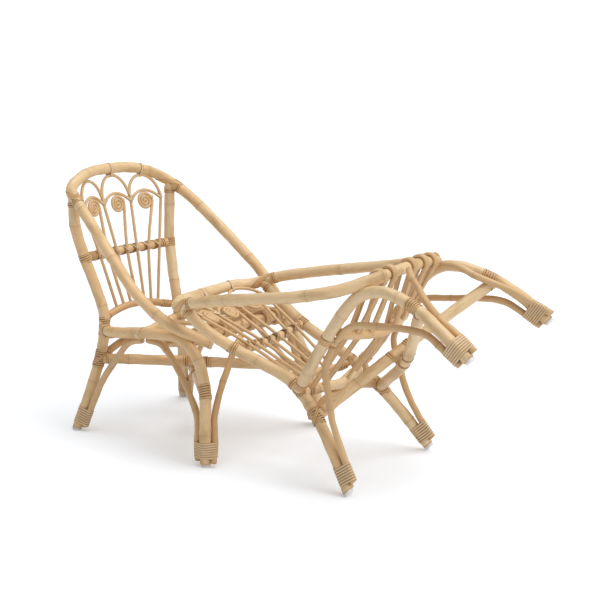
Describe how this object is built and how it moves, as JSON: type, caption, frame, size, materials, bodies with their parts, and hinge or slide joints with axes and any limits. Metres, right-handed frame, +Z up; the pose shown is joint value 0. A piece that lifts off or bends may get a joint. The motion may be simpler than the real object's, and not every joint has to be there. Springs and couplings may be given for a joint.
{
  "type": "pair of rattan armchairs",
  "caption": "Pair of small rattan armchairs with a scroll-and-arch lattice back, one upright and one tipped back against it.",
  "frame": {"origin": "on the floor, below the middle of the bounding box of the pair", "axes": "+X forwards, the way the upright chair faces; +Y to its left; +Z up"},
  "size_m": [1.119, 0.4804, 0.5962],
  "materials": {
    "frame_pole": "satin rattan pole, pale honey with grey-tan skin and darker nodes",
    "cane_rod": "satin thin cane, warm straw",
    "cane_peel": "satin wound cane peel",
    "glide_plastic": "plain white moulded plastic"
  },
  "bodies": {
    "upright_chair": {"upright_arm_hoop": "frame_pole", "upright_left_back_post": "frame_pole", "upright_right_back_post": "frame_pole", "upright_left_side_rail": "frame_pole", "upright_right_side_rail": "frame_pole", "upright_front_rail": "frame_pole", "upright_rear_rail": "frame_pole", "upright_back_rail": "cane_rod", "upright_rear_brace": "cane_rod", "upright_back_crossbar": "frame_pole", "upright_back_lattice": "cane_rod", "upright_seat_strands": "cane_rod", "upright_left_stretcher": "frame_pole", "upright_right_stretcher": "frame_pole", "upright_left_rear_arch_rod": "cane_rod", "upright_left_side_arch_rod": "cane_rod", "upright_left_front_arch_rod": "cane_rod", "upright_left_rear_foot_binding": "cane_peel", "upright_left_front_foot_binding": "cane_peel", "upright_left_arch_binding": "cane_peel", "upright_left_rear_glide": "glide_plastic", "upright_left_front_glide": "glide_plastic", "upright_right_rear_arch_rod": "cane_rod", "upright_right_side_arch_rod": "cane_rod", "upright_right_front_arch_rod": "cane_rod", "upright_right_rear_foot_binding": "cane_peel", "upright_right_front_foot_binding": "cane_peel", "upright_right_arch_binding": "cane_peel", "upright_right_rear_glide": "glide_plastic", "upright_right_front_glide": "glide_plastic"},
    "tipped_chair": {"tipped_arm_hoop": "frame_pole", "tipped_left_back_post": "frame_pole", "tipped_right_back_post": "frame_pole", "tipped_left_side_rail": "frame_pole", "tipped_right_side_rail": "frame_pole", "tipped_front_rail": "frame_pole", "tipped_rear_rail": "frame_pole", "tipped_back_rail": "cane_rod", "tipped_rear_brace": "cane_rod", "tipped_back_crossbar": "frame_pole", "tipped_back_lattice": "cane_rod", "tipped_seat_strands": "cane_rod", "tipped_left_stretcher": "frame_pole", "tipped_right_stretcher": "frame_pole", "tipped_left_rear_arch_rod": "cane_rod", "tipped_left_side_arch_rod": "cane_rod", "tipped_left_front_arch_rod": "cane_rod", "tipped_left_rear_foot_binding": "cane_peel", "tipped_left_front_foot_binding": "cane_peel", "tipped_left_arch_binding": "cane_peel", "tipped_left_rear_glide": "glide_plastic", "tipped_left_front_glide": "glide_plastic", "tipped_right_rear_arch_rod": "cane_rod", "tipped_right_side_arch_rod": "cane_rod", "tipped_right_front_arch_rod": "cane_rod", "tipped_right_rear_foot_binding": "cane_peel", "tipped_right_front_foot_binding": "cane_peel", "tipped_right_arch_binding": "cane_peel", "tipped_right_rear_glide": "glide_plastic", "tipped_right_front_glide": "glide_plastic"}
  },
  "joints": [
    {"name": "tipped_chair_tilt", "type": "hinge", "parent": "upright_chair", "child": "tipped_chair", "pos_m": [0.25894, -0.00246, 0], "axis": [-0.1201, 0.9928, 0], "range_deg": [0, 49.9]}
  ]
}
